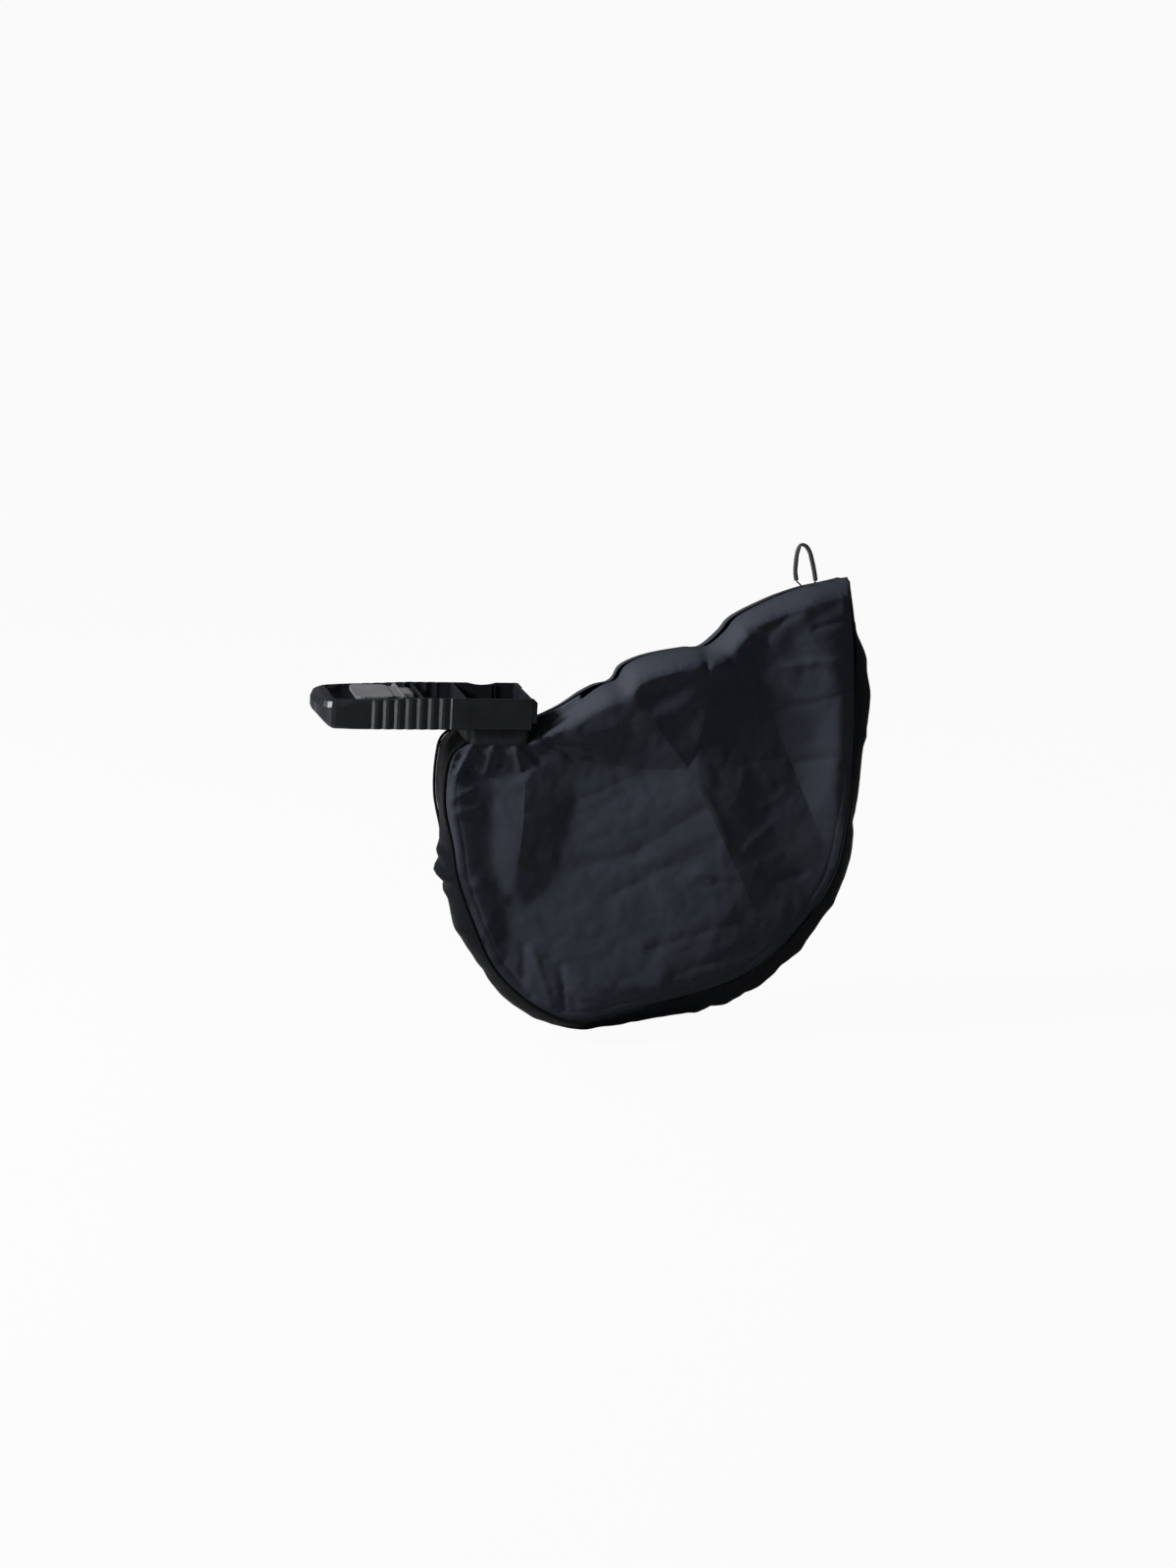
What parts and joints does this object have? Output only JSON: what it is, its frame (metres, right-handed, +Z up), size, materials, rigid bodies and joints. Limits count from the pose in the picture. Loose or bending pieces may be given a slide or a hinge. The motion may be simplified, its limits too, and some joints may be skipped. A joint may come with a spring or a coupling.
{
  "type": "leaf vacuum collection bag",
  "caption": "Zipped cloth collection bag hanging from a moulded plastic duct frame with a hand grip and a sprung latch lever.",
  "frame": {"origin": "centre of the top face of the duct's end wall, the rim that the machine's outlet seats on", "axes": "+Z up out of the duct's mouth, +X from the hand grip towards the bag's far corner, +Y to the side with the notched wall"},
  "size_m": [0.7329, 0.1506, 0.6488],
  "materials": {
    "black_plastic": "fine moulded texture, satin",
    "grey_plastic": "satin, rubbed by the thumb",
    "steel": "dull zinc",
    "dark_steel": "blackened",
    "panel_cloth": "matt black nonwoven with packing creases",
    "coated_cloth": "black coated weave, slightly glossy",
    "piping": "black bias binding over cord",
    "tape_cloth": "black woven tape and braid",
    "cord": "black braided cord"
  },
  "bodies": {
    "bag": {"frame_moulding": "black_plastic", "lever_pin": "steel", "neck_sleeve": "coated_cloth", "neck_rivet_front": "steel", "neck_rivet_back": "steel", "neck_rivet_left": "steel", "neck_rivet_right": "steel", "front_panel": "panel_cloth", "back_panel": "panel_cloth", "gusset_strip": "coated_cloth", "front_piping": "piping", "back_piping": "piping", "throat_gore": "panel_cloth", "zip_tape_front": "tape_cloth", "zip_tape_back": "tape_cloth", "zip_chain_front": "dark_steel", "zip_chain_back": "dark_steel", "zip_lower_stop": "steel", "zip_upper_stop": "steel"},
    "lever": {"latch_lever": "grey_plastic", "lever_spring": "dark_steel"},
    "slider": {"zip_slider": "dark_steel", "pull_cord": "cord", "pull_sleeve": "tape_cloth"}
  },
  "joints": [
    {"name": "lever_hinge", "type": "hinge", "parent": "bag", "child": "lever", "pos_m": [-0.158, 0, -0.005], "axis": [0, -1, 0], "range_deg": [0, 18], "stiffness_Nm_per_rad": 0.15},
    {"name": "zip_slide", "type": "slide", "parent": "bag", "child": "slider", "axis": [0.9081, 0, 0.4187], "range_m": [-0.2945, 0.0135]}
  ]
}
